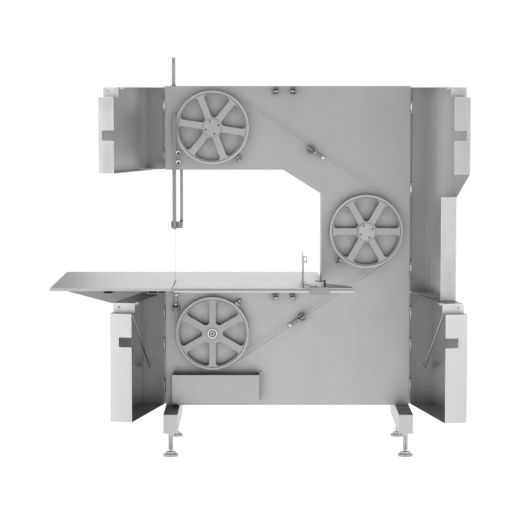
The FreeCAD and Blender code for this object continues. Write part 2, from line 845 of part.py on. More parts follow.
def make_wheel_scrapers():
    # the upper one leaves room for its wheel to come down as the blade is slackened
    return [wheel_scraper(left_wheel_x, upper_wheel_z, -50, tension_travel * 0.8),
            wheel_scraper(right_wheel_x, middle_wheel_z, -130, 0.5),
            wheel_scraper(left_wheel_x, lower_wheel_z, 50, 0.5)]


def blade_scraper(x, z, angle):
    # two fingers astride the blade on a foot that is bolted to the plate
    gap = blade_thick / 2 + 0.5
    fingers = [block(-18, 18, -64, -38, gap, gap + 5), block(-18, 18, -64, -38, -gap - 5, -gap)]
    foot = block(-22, 6, -40, 0, -20, 20)
    stops = [rod_y(-12, -48, -40, 14, 5), rod_y(-12, -48, -40, -14, 5)]
    scraper = joined(fingers + [foot] + stops)
    return tilted(scraper, x, z, angle)


def run_point(start, end, share):
    x0, z0 = start
    x1, z1 = end
    run = math.hypot(x1 - x0, z1 - z0)
    offset = wheel_radius + blade_gap + blade_thick / 2
    out_x = (z1 - z0) / run * offset
    out_z = -(x1 - x0) / run * offset
    angle = math.degrees(math.atan2(z1 - z0, x1 - x0))
    return x0 + (x1 - x0) * share + out_x, z0 + (z1 - z0) * share + out_z, angle


def make_blade_scrapers():
    upper = (left_wheel_x, upper_wheel_z)
    middle = (right_wheel_x, middle_wheel_z)
    lower = (left_wheel_x, lower_wheel_z)
    return [blade_scraper(*run_point(middle, upper, 0.5)), blade_scraper(*run_point(lower, middle, 0.46)),
            blade_scraper(*run_point(upper, lower, 0.89))]


def make_lower_guide():
    body = block(-640, -580, -58, 0, lower_guide_low, lower_guide_high)
    slot = block(blade_x - 0.8, blade_x + 0.8, guide_front, jaw_back, lower_guide_low - 8, lower_guide_high + 8)
    return body.cut(slot)


def make_tray():
    outer = block(tray_left, tray_right, -tray_depth, -1, tray_low, tray_high)
    return outer.cut(block(tray_left + tray_sheet, tray_right - tray_sheet, -tray_depth + tray_sheet,
                           -1 - tray_sheet, tray_low + tray_sheet, tray_high + 1))


def make_tray_rails():
    rails = [block(x, x + 14, -tray_depth + 6, 0, tray_low - 10, tray_low - 0.3) for x in (-600, -210)]
    peg = block(-150, -138, -14, 0, tray_high - 6, tray_high + 8)
    return rails + [peg]


def make_tension_frame():
    uprights = [block(x, x + 12, frame_front, frame_back, 1566, 1880) for x in (frame_left, frame_right - 12)]
    foot = block(frame_left, frame_right, frame_front, frame_back, 1566, 1578)
    head = block(frame_left, frame_right, frame_front, frame_back, 1868, 1880)
    foot = foot.cut(rod_z(left_wheel_x, spindle_y, 1560, 1590, spindle_radius + running_gap))
    return joined(uprights + [foot, head])


def make_spring_washers():
    return [rod_z(left_wheel_x, spindle_y, 1578.2 + 5 * k, 1582 + 5 * k, 19).cut(
        rod_z(left_wheel_x, spindle_y, 1570, 1620, spindle_radius + 0.4)) for k in range(4)]


def make_tension_carriage():
    body = block(frame_left + 12.3, frame_right - 12.3, 190, 256, upper_wheel_z - 60, upper_wheel_z + 60)
    body = body.cut(rod_y(left_wheel_x, 180, 260, upper_wheel_z, axle_radius))
    return body.cut(rod_z(left_wheel_x, spindle_y, upper_wheel_z - 70, upper_wheel_z - 24,
                          spindle_radius + running_gap))


def make_upper_axle():
    axle = rod_y(left_wheel_x, wheel_front + 4, 262, upper_wheel_z, axle_radius)
    nut = rod_y(left_wheel_x, 256, 268, upper_wheel_z, 30)
    return joined([axle, nut])


def make_tension_spindle():
    screw = rod_z(left_wheel_x, spindle_y, 1530, upper_wheel_z - 42, spindle_radius)
    collar = rod_z(left_wheel_x, spindle_y, 1598, 1610, 18)
    return joined([screw, collar])


def make_tension_handwheel():
    rim = Part.makeTorus(46, 7, vec(left_wheel_x, spindle_y, 1540), vec(0, 0, 1))
    hub = rod_z(left_wheel_x, spindle_y, 1528, 1558, 17)
    spokes = []
    for k in range(3):
        spoke = rod_x(left_wheel_x, left_wheel_x + 46, spindle_y, 1540, 5)
        spoke.rotate(vec(left_wheel_x, spindle_y, 0), vec(0, 0, 1), 120 * k)
        spokes.append(spoke)
    return joined([rim, hub] + spokes).cut(rod_z(left_wheel_x, spindle_y, 1520, 1570, spindle_radius))


def make_control_box():
    box = block(-plate_half - box_width, -plate_half, box_front, box_back, 1730, 1900)
    box = box.cut(block(-plate_half - box_width + 2, -plate_half - 2, box_front + 2, box_back - 2, 1732, 1898))
    holes = [rod_y(button_x, box_front - 1, box_front + 3, z, 9) for z in (start_z, stop_z, emergency_z)]
    return without(box, holes)


def push_button(z, radius, front):
    cap = rod_y(button_x, front, box_front - 6, z, radius)
    stem = rod_y(button_x, box_front - 6, box_front + 14, z, 8)
    return joined([cap, stem])


def make_cable_gland():
    body = rod_x(plate_half, plate_half + 12, gland_y, gland_z, 16)
    cap = rod_x(plate_half + 12, plate_half + 28, gland_y, gland_z, 13)
    inside = rod_x(plate_half - 12, plate_half, gland_y, gland_z, 12)
    return joined([body, cap, inside]).cut(rod_x(plate_half - 13, plate_half + 29, gland_y, gland_z, 6))


def main():
    arm_shell, column_shell, base_shell = make_casings()
    arm_side_hole = rod_x(-plate_half - 1, -plate_half + 5, post_y, knob_z, 7)
    arm_cover, column_cover, base_cover = make_rear_covers()
    pads, stems, nuts = make_feet()
    shaft, lock_ring = make_drive_shaft()
    place("back_plate", make_back_plate())
    place("rear_casing", [arm_shell.cut(arm_side_hole), column_shell, base_shell] + make_jambs())
    place("rear_covers", [arm_cover, column_cover, base_cover])
    place("cover_screws", make_cover_screws())
    place("base_beams", make_base_beams())
    place("foot_pads", pads)
    place("foot_stems", stems + nuts)
    place("drive_wheel", make_wheel(left_wheel_x, lower_wheel_z, 90, axle_radius))
    place("drive_shaft", shaft)
    place("shaft_lock_ring", lock_ring)
    place("drive_motor", make_drive_motor())
    place("middle_wheel", make_wheel(right_wheel_x, middle_wheel_z, 0, 36))
    place("middle_bearings", make_bearings(right_wheel_x, middle_wheel_z))
    place("middle_hub_cap", make_hub_cap(right_wheel_x, middle_wheel_z, 25))
    place("middle_axle", make_idler_axle())
    place("upper_wheel", make_wheel(left_wheel_x, upper_wheel_z, -9, 36))
    place("upper_bearings", make_bearings(left_wheel_x, upper_wheel_z))
    place("upper_hub_cap", make_hub_cap(left_wheel_x, upper_wheel_z, 20))
    place("upper_axle", make_upper_axle())
    place("saw_blade", make_blade())
    place("tension_frame", make_tension_frame())
    place("spring_washers", make_spring_washers())
    place("tension_carriage", make_tension_carriage())
    place("tension_spindle", make_tension_spindle())
    place("tension_handwheel", make_tension_handwheel())
    place("upper_left_door", make_upper_left_door())
    place("upper_right_door", make_upper_right_door())
    place("lower_left_door", make_lower_door(-1, lower_left_open, -632, -572))
    place("lower_right_door", make_lower_door(1, lower_right_open, 250, 306))
    place("left_door_brace", make_door_brace(-1, lower_left_open))
    place("right_door_brace", make_door_brace(1, lower_right_open))
    left_x = -plate_half - hinge_offset
    posts = [hinge_post(left_x, -1, z) for z in left_upper_hinges + lower_hinges]
    posts += [hinge_post(-left_x, 1, z) for z in right_upper_hinges + lower_hinges]
    place("hinge_posts", posts)
    keepers = []
    for level, y, z in (("upper", upper_bolt_y, upper_bolt_z), ("lower", lower_bolt_y, lower_bolt_z)):
        for name, side in (("left", -1), ("right", 1)):
            keepers.append(make_keeper(side, y, z))
            place(level + "_" + name + "_bolt", make_bolt(side, y, z))
    place("bolt_keepers", keepers)
    place("work_table", make_table())
    place("table_insert", make_table_insert())
    place("table_supports", make_table_supports() + [make_wing_bracket()])
    place("gauge_rail", make_gauge_rail())
    place("gauge_carriage", make_gauge_carriage())
    place("gauge_plate", make_gauge_plate())
    place("gauge_lock", make_gauge_lock())
    place("guide_rods", [make_guide_post(), make_guide_bar()])
    place("guide_block", make_guide_block())
    place("guide_jaws", make_guide_jaws())
    place("blade_guard", make_blade_guard())
    place("post_clamp", make_post_clamp())
    place("guide_knob", make_guide_knob())
    place("lower_guide", make_lower_guide())
    place("wheel_scrapers", make_wheel_scrapers())
    place("blade_scrapers", make_blade_scrapers())
    place("scrap_tray", make_tray())
    place("tray_rails", make_tray_rails())
    place("control_box", make_control_box())
    place("start_button", push_button(start_z, 12, box_front - 12))
    place("stop_button", push_button(stop_z, 12, box_front - 12))
    place("emergency_stop", push_button(emergency_z, 20, box_front - 24))
    place("cable_gland", make_cable_gland())


main()
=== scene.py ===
import math

import bmesh
import bpy
from mathutils import Matrix, Vector


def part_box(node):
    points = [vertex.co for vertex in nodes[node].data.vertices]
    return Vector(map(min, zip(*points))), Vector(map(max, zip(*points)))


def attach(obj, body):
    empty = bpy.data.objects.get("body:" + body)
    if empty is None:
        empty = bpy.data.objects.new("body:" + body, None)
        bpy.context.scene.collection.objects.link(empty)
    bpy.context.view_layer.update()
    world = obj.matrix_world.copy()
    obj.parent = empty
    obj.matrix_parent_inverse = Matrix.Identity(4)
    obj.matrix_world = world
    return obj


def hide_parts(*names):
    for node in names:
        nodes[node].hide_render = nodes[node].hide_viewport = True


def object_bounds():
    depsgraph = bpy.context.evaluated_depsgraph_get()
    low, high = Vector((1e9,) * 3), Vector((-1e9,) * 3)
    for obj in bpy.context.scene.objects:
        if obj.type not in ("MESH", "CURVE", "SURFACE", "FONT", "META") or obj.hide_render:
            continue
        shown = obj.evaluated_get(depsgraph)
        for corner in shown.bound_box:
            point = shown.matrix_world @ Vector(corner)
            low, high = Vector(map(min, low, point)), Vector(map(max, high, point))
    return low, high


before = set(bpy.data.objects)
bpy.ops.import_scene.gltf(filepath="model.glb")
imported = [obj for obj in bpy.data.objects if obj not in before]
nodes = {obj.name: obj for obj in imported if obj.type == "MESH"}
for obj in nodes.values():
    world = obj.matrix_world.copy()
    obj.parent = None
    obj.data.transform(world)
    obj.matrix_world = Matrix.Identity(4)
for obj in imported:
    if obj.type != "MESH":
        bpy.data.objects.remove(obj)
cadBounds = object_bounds()
scene = bpy.context.scene
mm = 0.001

plateLow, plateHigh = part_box("back_plate")
plateMiddle = (plateLow[0] + plateHigh[0]) / 2
plateFront = plateLow[1]


def placed(x, y, z):
    # millimetres from the plate's centre line, its front face and the floor
    return Vector((plateMiddle + x * mm, plateFront + y * mm, z * mm))


# view and studio
studio = {
    "cameraX": -0.137,  # from the plate's centre line and front face
    "cameraY": -11.4,
    "cameraZ": 1.972,
    "tiltDown": 4.8,
    "lens": 143.4,
    "worldLight": 0.42,
    "sideLamp": 75.0,
    "topLamp": 35.0,
}


def addCamera(look):
    data = bpy.data.cameras.new("viewCamera")
    data.lens = look["lens"]
    data.sensor_width = 36
    data.clip_end = 200
    camera = bpy.data.objects.new("viewCamera", data)
    camera.location = (plateMiddle + look["cameraX"], plateFront + look["cameraY"], look["cameraZ"])
    camera.rotation_euler = (math.radians(90 - look["tiltDown"]), 0, 0)
    scene.collection.objects.link(camera)
    scene.camera = camera


def addLamp(name, place, aim, size, power):
    data = bpy.data.lights.new(name, "AREA")
    data.shape = "RECTANGLE"
    data.size, data.size_y = size
    data.energy = power
    lamp = bpy.data.objects.new(name, data)
    lamp.location = place
    lamp.rotation_euler = (Vector(aim) - Vector(place)).to_track_quat("-Z", "Y").to_euler()
    lamp.visible_camera = False
    scene.collection.objects.link(lamp)


def addStudio(look):
    world = bpy.data.worlds.new("paleStudio")
    scene.world = world
    world.use_nodes = True
    tree = world.node_tree
    tree.nodes.clear()
    out = tree.nodes.new("ShaderNodeOutputWorld")
    seen = tree.nodes.new("ShaderNodeBackground")
    seen.inputs["Color"].default_value = (1, 1, 1, 1)
    light = tree.nodes.new("ShaderNodeBackground")
    light.inputs["Strength"].default_value = look["worldLight"]
    # the light falls off towards the ground, as in a room with a bright ceiling
    coords = tree.nodes.new("ShaderNodeTexCoord")
    split = tree.nodes.new("ShaderNodeSeparateXYZ")
    ramp = tree.nodes.new("ShaderNodeValToRGB")
    ramp.color_ramp.elements[0].position = 0.35
    ramp.color_ramp.elements[0].color = (0.48, 0.48, 0.485, 1)
    ramp.color_ramp.elements[1].position = 0.75
    ramp.color_ramp.elements[1].color = (1, 1, 1, 1)
    lift = tree.nodes.new("ShaderNodeMath")
    lift.operation = "MULTIPLY_ADD"
    lift.inputs[1].default_value = 0.5
    lift.inputs[2].default_value = 0.5
    path = tree.nodes.new("ShaderNodeLightPath")
    mix = tree.nodes.new("ShaderNodeMixShader")
    join = tree.links.new
    join(coords.outputs["Generated"], split.inputs[0])
    join(split.outputs["Z"], lift.inputs[0])
    join(lift.outputs[0], ramp.inputs[0])
    join(ramp.outputs[0], light.inputs["Color"])
    join(path.outputs["Is Camera Ray"], mix.inputs[0])
    join(light.outputs[0], mix.inputs[1])
    join(seen.outputs[0], mix.inputs[2])
    join(mix.outputs[0], out.inputs["Surface"])
    middle = (0, 0, 1.1)
    addLamp("leftSoftbox", (-5.2, -5.0, 1.5), middle, (2.6, 3.6), look["sideLamp"])
    addLamp("rightSoftbox", (5.2, -5.0, 1.5), middle, (2.6, 3.6), look["sideLamp"])
    addLamp("topSoftbox", (0, -1.0, 5.2), middle, (4.0, 3.0), look["topLamp"])
    addLamp("backSoftbox", (0.5, 6.0, 3.0), middle, (4.0, 2.5), look["topLamp"])


def addFloor():
    mesh = bpy.data.meshes.new("studioFloor")
    shape = bmesh.new()
    bmesh.ops.create_grid(shape, x_segments=8, y_segments=8, size=60)
    shape.to_mesh(mesh)
    shape.free()
    floor = bpy.data.objects.new("studioFloor", mesh)
    floor.location = (0, 0, cadBounds[0][2] - 0.0005)
    scene.collection.objects.link(floor)
    material = bpy.data.materials.new("paleFloor")
    material.use_nodes = True
    shader = material.node_tree.nodes["Principled BSDF"]
    shader.inputs["Base Color"].default_value = (0.93, 0.93, 0.93, 1)
    shader.inputs["Roughness"].default_value = 0.8
    shader.inputs["Specular IOR Level"].default_value = 0.0
    shader.inputs["Emission Color"].default_value = (1, 1, 1, 1)
    shader.inputs["Emission Strength"].default_value = 0.66
    mesh.materials.append(material)


scene.view_settings.view_transform = "Standard"
addCamera(studio)
addStudio(studio)
addFloor()
print("studio ready")

# finishes


def startMaterial(name, roughness, metallic):
    material = bpy.data.materials.new(name)
    material.use_nodes = True
    shader = material.node_tree.nodes["Principled BSDF"]
    shader.inputs["Roughness"].default_value = roughness
    shader.inputs["Metallic"].default_value = metallic
    return material, material.node_tree, shader


def addNode(tree, kind, **settings):
    node = tree.nodes.new(kind)
    for key, value in settings.items():
        setattr(node, key, value)
    return node


def noiseOf(tree, coords, scale, size, detail=3.0, rough=0.5):
    # noise stretched along the axes: scale is how often it changes per metre on each axis
    stretch = addNode(tree, "ShaderNodeMapping")
    stretch.inputs["Scale"].default_value = scale
    noise = addNode(tree, "ShaderNodeTexNoise")
    noise.inputs["Scale"].default_value = size
    noise.inputs["Detail"].default_value = detail
    noise.inputs["Roughness"].default_value = rough
    tree.links.new(coords, stretch.inputs["Vector"])
    tree.links.new(stretch.outputs[0], noise.inputs["Vector"])
    return noise.outputs["Fac"]


def mathOf(tree, operation, first, second, third=None, clamp=False):
    node = addNode(tree, "ShaderNodeMath", operation=operation, use_clamp=clamp)
    for slot, value in enumerate((first, second, third)):
        if value is None:
            continue
        if isinstance(value, (int, float)):
            node.inputs[slot].default_value = value
        else:
            tree.links.new(value, node.inputs[slot])
    return node.outputs[0]


def rangeOf(tree, value, low, high, toLow, toHigh):
    node = addNode(tree, "ShaderNodeMapRange", clamp=True)
    tree.links.new(value, node.inputs["Value"])
    for key, number in (("From Min", low), ("From Max", high), ("To Min", toLow), ("To Max", toHigh)):
        node.inputs[key].default_value = number
    return node.outputs[0]


def tinted(tree, colour, factor):
    # a colour made lighter or darker by a factor that varies over the surface
    node = addNode(tree, "ShaderNodeVectorMath", operation="SCALE")
    node.inputs[0].default_value = colour
    tree.links.new(factor, node.inputs["Scale"])
    return node.outputs[0]


def edgeMask(tree, width):
    # 1 on outside and inside corners, 0 on flats
    soft = addNode(tree, "ShaderNodeBevel", samples=4)
    soft.inputs["Radius"].default_value = width
    here = addNode(tree, "ShaderNodeNewGeometry")
    dot = addNode(tree, "ShaderNodeVectorMath", operation="DOT_PRODUCT")
    tree.links.new(soft.outputs[0], dot.inputs[0])
    tree.links.new(here.outputs["Normal"], dot.inputs[1])
    return rangeOf(tree, dot.outputs["Value"], 0.995, 0.86, 0.0, 1.0)


def creviceShade(tree, reach, darkest):
    # painted shade: darker where other surfaces stand close by, as shade falls in corners, recesses and between
    # parts
    shade = addNode(tree, "ShaderNodeAmbientOcclusion", samples=6)
    shade.inputs["Distance"].default_value = reach
    return rangeOf(tree, shade.outputs["AO"], 0.3, 0.92, darkest, 1.0)


grainAlong = {"x": (1.5, 90, 90), "y": (90, 1.5, 90), "z": (90, 90, 1.5)}


def brushedSteel(name, look):
    material, tree, shader = startMaterial(name, look["roughness"], look.get("metallic", 1.0))
    coords = addNode(tree, "ShaderNodeTexCoord").outputs["Object"]
    grain = noiseOf(tree, coords, grainAlong[look["grain"]], 9.0, 4.0, 0.65)
    streakScale = [0.35 if axis == look["grain"] else 7.0 for axis in "xyz"]
    streak = noiseOf(tree, coords, streakScale, 1.0, 3.0, 0.55)
    cloud = noiseOf(tree, coords, (2.2, 2.2, 2.2), 1.0, 4.0, 0.6)
    smear = noiseOf(tree, coords, (9, 9, 6), 1.6, 5.0, 0.7)
    tone = mathOf(tree, "MULTIPLY_ADD", mathOf(tree, "SUBTRACT", grain, 0.5), look["grainTone"], 1.0)
    tone = mathOf(tree, "MULTIPLY_ADD", mathOf(tree, "SUBTRACT", streak, 0.5), look["streakTone"], tone)
    tone = mathOf(tree, "MULTIPLY_ADD", mathOf(tree, "SUBTRACT", cloud, 0.5), look["cloudTone"], tone)
    edge = edgeMask(tree, look.get("edgeWidth", 0.0015))
    # painted light on corners: a painted highlight along them, painted shade where the edge value is negative
    tone = mathOf(tree, "MULTIPLY_ADD", edge, look.get("edgeLightShade", 0.16), tone)
    # painted shade in corners and recesses
    crevice = creviceShade(tree, look.get("crevice", 0.07), look.get("creviceShade", 0.6))
    tone = mathOf(tree, "MULTIPLY", tone, crevice)
    if "topShade" in look:
        # painted shade: a face that looks up is made darker
        up = addNode(tree, "ShaderNodeSeparateXYZ")
        tree.links.new(addNode(tree, "ShaderNodeTexCoord").outputs["Normal"], up.inputs[0])
        tone = mathOf(tree, "MULTIPLY", tone, rangeOf(tree, up.outputs["Z"], 0.7, 0.9, 1.0, look["topShade"]))
    tree.links.new(tinted(tree, look["colour"], tone), shader.inputs["Base Color"])
    rough = mathOf(tree, "MULTIPLY_ADD", mathOf(tree, "SUBTRACT", smear, 0.5), 0.16, look["roughness"])
    rough = mathOf(tree, "MULTIPLY_ADD", mathOf(tree, "SUBTRACT", grain, 0.5), 0.18, rough)
    rough = mathOf(tree, "MULTIPLY_ADD", edge, -0.08, rough, True)
    tree.links.new(rough, shader.inputs["Roughness"])
    bump = addNode(tree, "ShaderNodeBump")
    bump.inputs["Strength"].default_value = look.get("bump", 0.12)
    bump.inputs["Distance"].default_value = 0.0004
    tree.links.new(mathOf(tree, "ADD", grain, mathOf(tree, "MULTIPLY", cloud, 0.6)), bump.inputs["Height"])
    tree.links.new(bump.outputs[0], shader.inputs["Normal"])
    return material


def doorSteel(name, look, door):
    # as the other sheet, with painted light and shade on each door: its turned-in edge made lighter or darker by
    # its own factor, and its skin's tone running from the hinge out
    material = brushedSteel(name, look)
    tree = material.node_tree
    shader = tree.nodes["Principled BSDF"]
    coords = addNode(tree, "ShaderNodeTexCoord")
    angle = math.radians(door["open"])
    along = (-door["side"] * math.cos(angle), -door["side"] * math.sin(angle), 0.0)
    hinge = placed(door["hinge"], 0, 0)
    facing = addNode(tree, "ShaderNodeVectorMath", operation="DOT_PRODUCT")
    facing.inputs[1].default_value = along
    tree.links.new(coords.outputs["Normal"], facing.inputs[0])
    flange = rangeOf(tree, mathOf(tree, "ABSOLUTE", facing.outputs["Value"], None), 0.8, 0.95, 1.0,
                     door["flangeLightShade"])
    shift = addNode(tree, "ShaderNodeVectorMath", operation="SUBTRACT")
    shift.inputs[1].default_value = hinge
    tree.links.new(coords.outputs["Object"], shift.inputs[0])
    run = addNode(tree, "ShaderNodeVectorMath", operation="DOT_PRODUCT")
    run.inputs[1].default_value = along
    tree.links.new(shift.outputs[0], run.inputs[0])
    # painted light and shade running from the hinge out to the free edge
    fade = rangeOf(tree, run.outputs["Value"], 0.0, 0.6, door["hingeLightShade"], door["edgeSideLightShade"])
    factor = mathOf(tree, "MULTIPLY", flange, fade)
    link = shader.inputs["Base Color"].links[0]
    toned = addNode(tree, "ShaderNodeVectorMath", operation="SCALE")
    tree.links.new(link.from_socket, toned.inputs[0])
    tree.links.new(factor, toned.inputs["Scale"])
    tree.links.new(toned.outputs[0], shader.inputs["Base Color"])
    return material


def turnedSteel(name, look, centre, axis="y"):
    # lathe marks: fine rings round an axis through centre
    material, tree, shader = startMaterial(name, look["roughness"], 1.0)
    coords = addNode(tree, "ShaderNodeTexCoord").outputs["Object"]
    shift = addNode(tree, "ShaderNodeVectorMath", operation="SUBTRACT")
    shift.inputs[1].default_value = centre
    tree.links.new(coords, shift.inputs[0])
    flatten = addNode(tree, "ShaderNodeVectorMath", operation="MULTIPLY")
    flatten.inputs[1].default_value = [0.0 if letter == axis else 1.0 for letter in "xyz"]
    tree.links.new(shift.outputs[0], flatten.inputs[0])
    length = addNode(tree, "ShaderNodeVectorMath", operation="LENGTH")
    tree.links.new(flatten.outputs[0], length.inputs[0])
    rings = addNode(tree, "ShaderNodeTexNoise", noise_dimensions="1D")
    rings.inputs["Scale"].default_value = look.get("ringScale", 700.0)
    rings.inputs["Detail"].default_value = 3.0
    tree.links.new(length.outputs["Value"], rings.inputs["W"])
    ring = rings.outputs["Fac"]
    cloud = noiseOf(tree, coords, (14, 14, 14), 1.0, 4.0, 0.6)
    edge = edgeMask(tree, 0.001)
    tone = mathOf(tree, "MULTIPLY_ADD", mathOf(tree, "SUBTRACT", ring, 0.5), 0.25, 1.0)
    tone = mathOf(tree, "MULTIPLY_ADD", mathOf(tree, "SUBTRACT", cloud, 0.5), 0.22, tone)
    # painted highlight along the edges
    tone = mathOf(tree, "MULTIPLY_ADD", edge, 0.2, tone)
    tree.links.new(tinted(tree, look["colour"], tone), shader.inputs["Base Color"])
    rough = mathOf(tree, "MULTIPLY_ADD", mathOf(tree, "SUBTRACT", cloud, 0.5), 0.2, look["roughness"], True)
    tree.links.new(rough, shader.inputs["Roughness"])
    bump = addNode(tree, "ShaderNodeBump")
    bump.inputs["Strength"].default_value = 0.15
    bump.inputs["Distance"].default_value = 0.0003
    tree.links.new(ring, bump.inputs["Height"])
    tree.links.new(bump.outputs[0], shader.inputs["Normal"])
    return material


def castMetal(name, look, centre=None):
    # a plated casting: fine pitted skin, smoother at its edges, with painted shade along them on the wheels and
    # feet, and a turned lip where a centre is given
    material, tree, shader = startMaterial(name, look["roughness"], 1.0)
    coords = addNode(tree, "ShaderNodeTexCoord").outputs["Object"]
    skin = noiseOf(tree, coords, (1, 1, 1), 420.0, 4.0, 0.6)
    cloud = noiseOf(tree, coords, (9, 9, 9), 1.0, 5.0, 0.6)
    edge = edgeMask(tree, 0.0025)
    tone = mathOf(tree, "MULTIPLY_ADD", mathOf(tree, "SUBTRACT", skin, 0.5), 0.2, 1.0)
    tone = mathOf(tree, "MULTIPLY_ADD", mathOf(tree, "SUBTRACT", cloud, 0.5), 0.3, tone)
    # painted light along the edges; the wheels and feet take it as painted shade
    tone = mathOf(tree, "MULTIPLY_ADD", edge, look["edgeLightShade"], tone)
    # painted shade in corners and recesses
    tone = mathOf(tree, "MULTIPLY", tone, creviceShade(tree, 0.05, look.get("creviceShade", 0.45)))
    if centre:
        shift = addNode(tree, "ShaderNodeVectorMath", operation="SUBTRACT")
        shift.inputs[1].default_value = centre
        tree.links.new(coords, shift.inputs[0])
        flatten = addNode(tree, "ShaderNodeVectorMath", operation="MULTIPLY")
        flatten.inputs[1].default_value = (1, 0, 1)
        tree.links.new(shift.outputs[0], flatten.inputs[0])
        reach = addNode(tree, "ShaderNodeVectorMath", operation="LENGTH")
        tree.links.new(flatten.outputs[0], reach.inputs[0])
        away = reach.outputs["Value"]
        # painted highlight: a bright ring along the lip
        lip = rangeOf(tree, away, look["lip"] - 0.001, look["lip"] + 0.001, 0.0, 0.12)
        offLip = mathOf(tree, "ABSOLUTE", mathOf(tree, "SUBTRACT", away, look["lip"] - 0.002), None)
        # painted shade: a dark ring in a groove just inside the lip
        groove = rangeOf(tree, offLip, 0.0005, 0.0028, look["grooveShade"], 1.0)
        tone = mathOf(tree, "MULTIPLY", mathOf(tree, "ADD", tone, lip), groove)
    tree.links.new(tinted(tree, look["colour"], tone), shader.inputs["Base Color"])
    rough = mathOf(tree, "MULTIPLY_ADD", mathOf(tree, "SUBTRACT", cloud, 0.5), 0.25, look["roughness"])
    rough = mathOf(tree, "MULTIPLY_ADD", edge, -0.15, rough, True)
    tree.links.new(rough, shader.inputs["Roughness"])
    bump = addNode(tree, "ShaderNodeBump")
    bump.inputs["Strength"].default_value = 0.25
    bump.inputs["Distance"].default_value = 0.0004
    tree.links.new(skin, bump.inputs["Height"])
    tree.links.new(bump.outputs[0], shader.inputs["Normal"])
    return material


def mouldedPlastic(name, look):
    material, tree, shader = startMaterial(name, look["roughness"], 0.0)
    coords = addNode(tree, "ShaderNodeTexCoord").outputs["Object"]
    pebble = noiseOf(tree, coords, (1, 1, 1), look.get("pebble", 900.0), 3.0, 0.55)
    cloud = noiseOf(tree, coords, (20, 20, 20), 1.0, 4.0, 0.6)
    edge = edgeMask(tree, 0.0008)
    tone = mathOf(tree, "MULTIPLY_ADD", mathOf(tree, "SUBTRACT", cloud, 0.5), 0.35, 1.0)
    # painted highlight along the edges, painted shade where the edge value is negative
    tone = mathOf(tree, "MULTIPLY_ADD", edge, look.get("edgeLightShade", 0.25), tone)
    tree.links.new(tinted(tree, look["colour"], tone), shader.inputs["Base Color"])
    rough = mathOf(tree, "MULTIPLY_ADD", mathOf(tree, "SUBTRACT", cloud, 0.5), 0.2, look["roughness"], True)
    tree.links.new(rough, shader.inputs["Roughness"])
    bump = addNode(tree, "ShaderNodeBump")
    bump.inputs["Strength"].default_value = look.get("bump", 0.2)
    bump.inputs["Distance"].default_value = 0.0002
    tree.links.new(pebble, bump.inputs["Height"])
    tree.links.new(bump.outputs[0], shader.inputs["Normal"])
    return material


sheetLooks = {
    "plateSteel": {"colour": (0.545, 0.55, 0.555), "roughness": 0.42, "grain": "z", "grainTone": 0.16,
                   "streakTone": 0.10, "cloudTone": 0.16},
    "casingSteel": {"colour": (0.58, 0.585, 0.59), "roughness": 0.40, "grain": "z", "grainTone": 0.18,
                    "streakTone": 0.12, "cloudTone": 0.16},
    "tableSteel": {"colour": (0.575, 0.58, 0.585), "roughness": 0.36, "grain": "x", "grainTone": 0.16,
                   "streakTone": 0.08, "cloudTone": 0.10},
    "beamSteel": {"colour": (0.60, 0.605, 0.61), "roughness": 0.42, "grain": "y", "grainTone": 0.2,
                  "streakTone": 0.1, "cloudTone": 0.2, "topShade": 0.5},
    "traySteel": {"colour": (0.49, 0.495, 0.5), "roughness": 0.36, "grain": "x", "grainTone": 0.16,
                  "streakTone": 0.1, "cloudTone": 0.12},
    # guide steel and rod chrome: strong painted shade along their edges and in their crevices
    "guideSteel": {"colour": (0.40, 0.402, 0.405), "roughness": 0.34, "grain": "z", "grainTone": 0.2,
                   "streakTone": 0.1, "cloudTone": 0.2, "edgeWidth": 0.003, "edgeLightShade": -0.6,
                   "crevice": 0.04, "creviceShade": 0.3},
    "railChrome": {"colour": (0.54, 0.545, 0.55), "roughness": 0.16, "grain": "x", "grainTone": 0.08,
                   "streakTone": 0.04, "cloudTone": 0.06, "bump": 0.04},
    "rodChrome": {"colour": (0.42, 0.425, 0.43), "roughness": 0.18, "grain": "z", "grainTone": 0.08,
                  "streakTone": 0.04, "cloudTone": 0.06, "bump": 0.04, "edgeWidth": 0.004,
                  "edgeLightShade": -0.7, "crevice": 0.05, "creviceShade": 0.3},
    "bladeSteel": {"colour": (0.62, 0.62, 0.63), "roughness": 0.3, "grain": "z", "grainTone": 0.2,
                   "streakTone": 0.1, "cloudTone": 0.2},
    "boltSteel": {"colour": (0.66, 0.665, 0.67), "roughness": 0.26, "grain": "x", "grainTone": 0.14,
                  "streakTone": 0.06, "cloudTone": 0.14},
    "brightSteel": {"colour": (0.88, 0.88, 0.88), "roughness": 0.3, "grain": "x", "grainTone": 0.1,
                    "streakTone": 0.05, "cloudTone": 0.1},
    "bracketSteel": {"colour": (0.36, 0.365, 0.37), "roughness": 0.42, "grain": "x", "grainTone": 0.2,
                     "streakTone": 0.1, "cloudTone": 0.2},
    "darkSteel": {"colour": (0.07, 0.07, 0.075), "roughness": 0.45, "grain": "z", "grainTone": 0.2,
                  "streakTone": 0.1, "cloudTone": 0.2},
    "hardMetal": {"colour": (0.2, 0.2, 0.21), "roughness": 0.3, "grain": "z", "grainTone": 0.2,
                  "streakTone": 0.1, "cloudTone": 0.2},
}
finishes = {name: brushedSteel(name, look) for name, look in sheetLooks.items()}

# door sheet: painted highlights along its edges and painted shade in its crevices
doorLook = {"colour": (0.66, 0.665, 0.67), "roughness": 0.36, "grain": "z", "grainTone": 0.2,
            "streakTone": 0.5, "cloudTone": 0.12, "edgeWidth": 0.005, "edgeLightShade": 0.35, "creviceShade": 0.75}
